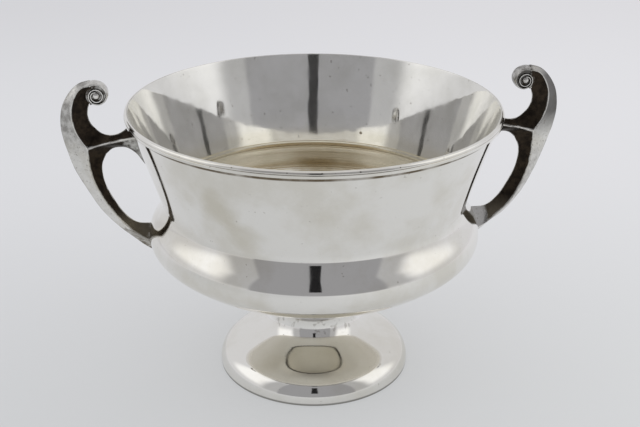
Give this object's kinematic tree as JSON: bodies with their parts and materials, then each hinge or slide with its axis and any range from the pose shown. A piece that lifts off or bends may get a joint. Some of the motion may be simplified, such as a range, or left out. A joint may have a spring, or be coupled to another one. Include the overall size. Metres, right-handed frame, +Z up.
{
  "type": "two-handled bowl",
  "caption": "Round silver bowl with a flared wall, a waist, a full belly and a moulded rim, on a domed spreading foot, with cast scroll handles at its sides.",
  "frame": {"origin": "on the bowl's axis, on the surface that the foot stands on", "axes": "+X along the handles, towards the right one; +Y away from the viewer; +Z up the bowl's axis, out of its mouth"},
  "size_m": [0.2664, 0.2, 0.1727],
  "materials": {
    "polished_silver": "hand polished silver with faint tarnish",
    "cast_silver": "cast silver, polished, slightly pitted, with tarnish in the scroll"
  },
  "bodies": {
    "root": {"bowl_body": "polished_silver", "rim_wire": "polished_silver", "foot": "polished_silver", "foot_edge_wire": "polished_silver", "handle_right": "cast_silver", "handle_left": "cast_silver"}
  },
  "joints": []
}
